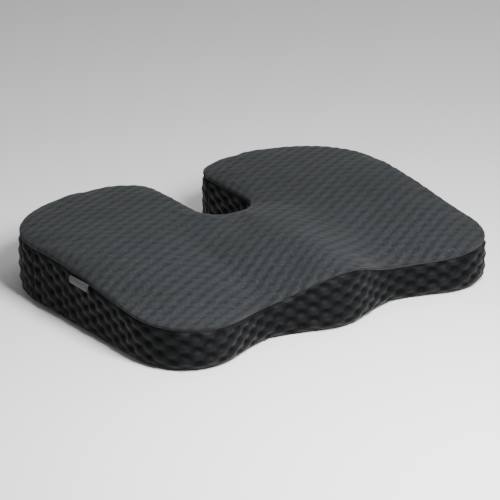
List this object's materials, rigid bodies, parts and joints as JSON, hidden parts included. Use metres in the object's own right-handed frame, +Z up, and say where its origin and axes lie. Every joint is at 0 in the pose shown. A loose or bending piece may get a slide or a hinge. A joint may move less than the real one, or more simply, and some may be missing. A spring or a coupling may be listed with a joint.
{
  "type": "seat cushion",
  "caption": "Contoured tailbone seat cushion with a rear notch, thigh channels, a zipped knit cover and a non-slip base.",
  "frame": {"origin": "centre of the base, on the flat face that lies on the seat", "axes": "+X across the seat towards the sitter's left hand, +Y to the rear where the notch opens, +Z up"},
  "size_m": [0.4612, 0.344, 0.072],
  "materials": {
    "mesh_knit": "charcoal air-mesh knit, matt, with diagonal rows of small oval bumps",
    "bubble_knit": "black bubble knit with a diamond lattice of soft lumps and dark pits",
    "welt": "thin dark grey edge binding in the top seam",
    "grip_base": "black base cloth with small raised rubbery grip dots",
    "foam": "moulded slow-recovery polyurethane foam",
    "liner": "thin pale jersey liner",
    "zip_tape": "woven black zip tape",
    "zip_coil": "black nylon coil",
    "zip_metal": "black painted zinc, satin",
    "label": "blank light grey satin ribbon"
  },
  "bodies": {
    "root": {"foam_core": "foam", "liner_top": "liner", "liner_base": "liner", "base_panel": "grip_base", "top_panel": "mesh_knit", "top_welt": "welt", "front_band": "bubble_knit", "zip_band_lower": "bubble_knit", "zip_band_upper": "bubble_knit", "rear_band_right": "bubble_knit", "notch_band": "bubble_knit", "rear_band_left": "bubble_knit", "zip_coil_upper": "zip_coil", "zip_coil_lower": "zip_coil", "zip_tape_upper": "zip_tape", "zip_tape_lower": "zip_tape", "zip_top_stop": "zip_metal", "zip_bottom_stop": "zip_metal", "side_label": "label"},
    "slider": {"zip_slider": "zip_metal"},
    "pull": {"zip_pull": "zip_metal"}
  },
  "joints": [
    {"name": "zip_slide", "type": "slide", "parent": "root", "child": "slider", "axis": [0.0455, 0.999, 0], "range_m": [0, 0.1485]},
    {"name": "pull_hinge", "type": "hinge", "parent": "slider", "child": "pull", "pos_m": [0.22496, -0.0935, 0.03], "axis": [0, 0, -1], "range_deg": [0, 170]}
  ]
}
